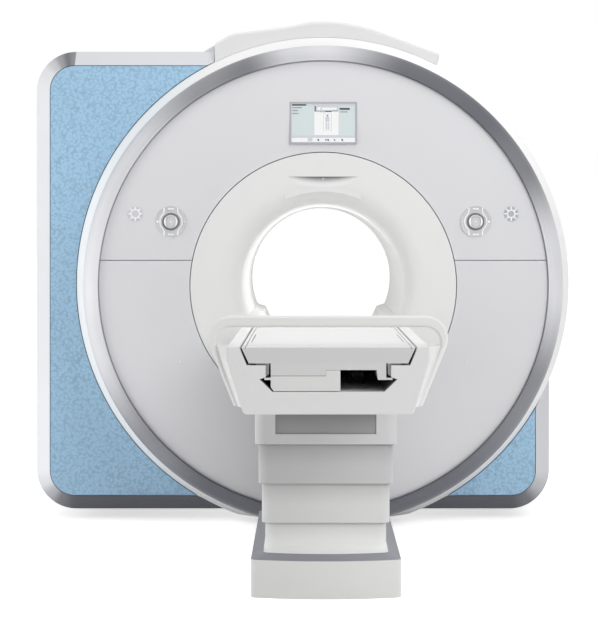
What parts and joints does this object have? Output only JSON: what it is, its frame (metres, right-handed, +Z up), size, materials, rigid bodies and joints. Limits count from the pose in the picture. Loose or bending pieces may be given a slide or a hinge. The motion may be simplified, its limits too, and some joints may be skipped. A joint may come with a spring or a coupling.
{
  "type": "magnetic resonance scanner",
  "caption": "Cylindrical-bore imaging scanner: drum gantry with side housing and roof turret, control dials and screen, and a patient table that lifts on a telescoping column and slides in",
  "frame": {"origin": "On the floor, straight under the middle of the bore, on the underside of the magnet's base frame", "axes": "+Z up; +Y along the bore axis from the table into the bore; +X to the right as seen from the table's foot end"},
  "size_m": [2.361, 3.81, 2.209],
  "materials": {
    "cover_grey": "satin",
    "cover_white": "satin",
    "panel_blue": "fine grained",
    "ring_silver": "brushed",
    "frame_silver": "satin",
    "board_white": "smooth",
    "trim_grey": "satin",
    "recess_grey": "matte",
    "key_white": "smooth",
    "dial_dark": "matte",
    "screen_glass": "glossy",
    "vessel_steel": "welded and brushed",
    "coil_epoxy": "cast",
    "coil_former": "smooth",
    "base_steel": "painted",
    "rod_chrome": "ground",
    "rail_alu": "anodised",
    "belt_rubber": "matte",
    "carrier_alu": "anodised"
  },
  "bodies": {
    "gantry": {"magnet_vessel": "vessel_steel", "magnet_cradle": "base_steel", "cold_head": "base_steel", "gradient_coil": "coil_epoxy", "body_coil": "coil_former", "bore_liner": "cover_white", "bore_bridge": "cover_white", "front_funnel": "cover_white", "rear_funnel": "cover_white", "front_cover_upper": "cover_grey", "front_cover_lower": "cover_grey", "cover_screws": "key_white", "rear_cover": "cover_grey", "front_ring": "ring_silver", "front_drum": "cover_white", "rear_drum": "cover_white", "housing_band": "frame_silver", "wing_frame_left": "frame_silver", "wing_frame_right": "frame_silver", "side_panel_left": "panel_blue", "side_panel_right": "panel_blue", "rear_wings": "frame_silver", "turret_cover": "cover_white", "brow_light": "recess_grey", "screen_bezel": "trim_grey", "screen_glass": "screen_glass", "control_dish_left": "cover_grey", "control_dish_right": "cover_grey", "table_plinth": "cover_grey", "plinth_trim": "trim_grey", "plinth_plate": "cover_white", "base_plate": "base_steel", "column_sleeve_1": "cover_grey", "lift_barrels": "base_steel"},
    "lower_sleeve": {"column_sleeve_2": "cover_grey"},
    "upper_sleeve": {"column_sleeve_3": "cover_grey"},
    "lift_stage": {"lift_stages": "rod_chrome"},
    "table": {"column_sleeve_4": "cover_grey", "lift_rams": "rod_chrome", "table_shell": "cover_grey", "table_trough": "rail_alu", "guide_rails": "rail_alu", "table_end_cap": "cover_grey", "end_loop": "cover_grey", "drive_belt": "belt_rubber"},
    "tabletop": {"tabletop_board": "board_white", "tabletop_carrier": "carrier_alu", "carriage_unit": "trim_grey"},
    "near_drum": {"near_pulley": "rail_alu"},
    "far_drum": {"far_pulley": "rail_alu"},
    "left_dial": {"control_dial_left": "dial_dark"},
    "right_dial": {"control_dial_right": "dial_dark"},
    "left_cap": {"dial_cap_left": "key_white"},
    "right_cap": {"dial_cap_right": "key_white"},
    "left_up": {"up_key_left": "key_white"},
    "right_up": {"up_key_right": "key_white"},
    "left_down": {"down_key_left": "key_white"},
    "right_down": {"down_key_right": "key_white"},
    "light_button": {"light_key": "key_white"},
    "fan_button": {"fan_key": "key_white"}
  },
  "joints": [
    {"name": "table_lift", "type": "slide", "parent": "gantry", "child": "table", "axis": [0, 0, 1], "range_m": [-0.37, 0]},
    {"name": "tabletop_slide", "type": "slide", "parent": "table", "child": "tabletop", "axis": [0, 1, 0], "range_m": [0, 1.7]},
    {"name": "lower_sleeve_slide", "type": "slide", "parent": "gantry", "child": "lower_sleeve", "axis": [0, 0, 1], "range_m": [-0.092, 0.0005]},
    {"name": "upper_sleeve_slide", "type": "slide", "parent": "gantry", "child": "upper_sleeve", "axis": [0, 0, 1], "range_m": [-0.2319, 0.0005]},
    {"name": "lift_stage_slide", "type": "slide", "parent": "gantry", "child": "lift_stage", "axis": [0, 0, 1], "range_m": [-0.186, 0.0005]},
    {"name": "near_drum_spin", "type": "hinge", "parent": "table", "child": "near_drum", "pos_m": [0.093, -2.645, 0.82], "axis": [-1, 0, 0], "range_deg": [-5, 4440]},
    {"name": "far_drum_spin", "type": "hinge", "parent": "table", "child": "far_drum", "pos_m": [0.093, -1.005, 0.82], "axis": [-1, 0, 0], "range_deg": [-5, 4440]},
    {"name": "left_dial_turn", "type": "hinge", "parent": "gantry", "child": "left_dial", "pos_m": [-0.643, -0.845, 1.32], "axis": [0, 1, 0], "range_deg": [-40, 40], "stiffness_Nm_per_rad": 0.15},
    {"name": "left_cap_push", "type": "slide", "parent": "left_dial", "child": "left_cap", "axis": [0, 1, 0], "range_m": [0, 0.002], "stiffness_N_per_m": 900, "springref_m": -0.002},
    {"name": "left_up_push", "type": "slide", "parent": "gantry", "child": "left_up", "axis": [0, 1, 0], "range_m": [0, 0.0015], "stiffness_N_per_m": 900, "springref_m": -0.002},
    {"name": "left_down_push", "type": "slide", "parent": "gantry", "child": "left_down", "axis": [0, 1, 0], "range_m": [0, 0.0015], "stiffness_N_per_m": 900, "springref_m": -0.002},
    {"name": "right_dial_turn", "type": "hinge", "parent": "gantry", "child": "right_dial", "pos_m": [0.643, -0.845, 1.32], "axis": [0, 1, 0], "range_deg": [-40, 40], "stiffness_Nm_per_rad": 0.15},
    {"name": "right_cap_push", "type": "slide", "parent": "right_dial", "child": "right_cap", "axis": [0, 1, 0], "range_m": [0, 0.002], "stiffness_N_per_m": 900, "springref_m": -0.002},
    {"name": "right_up_push", "type": "slide", "parent": "gantry", "child": "right_up", "axis": [0, 1, 0], "range_m": [0, 0.0015], "stiffness_N_per_m": 900, "springref_m": -0.002},
    {"name": "right_down_push", "type": "slide", "parent": "gantry", "child": "right_down", "axis": [0, 1, 0], "range_m": [0, 0.0015], "stiffness_N_per_m": 900, "springref_m": -0.002},
    {"name": "light_button_push", "type": "slide", "parent": "gantry", "child": "light_button", "axis": [0, 1, 0], "range_m": [0, 0.0015], "stiffness_N_per_m": 900, "springref_m": -0.002},
    {"name": "fan_button_push", "type": "slide", "parent": "gantry", "child": "fan_button", "axis": [0, 1, 0], "range_m": [0, 0.0015], "stiffness_N_per_m": 900, "springref_m": -0.002}
  ],
  "couplings": [
    {"joint": "lower_sleeve_slide", "follows": "table_lift", "ratio": 0.246},
    {"joint": "upper_sleeve_slide", "follows": "table_lift", "ratio": 0.624},
    {"joint": "lift_stage_slide", "follows": "table_lift", "ratio": 0.5},
    {"joint": "near_drum_spin", "follows": "tabletop_slide", "rad_per_m": 45.455},
    {"joint": "far_drum_spin", "follows": "tabletop_slide", "rad_per_m": 45.455}
  ]
}
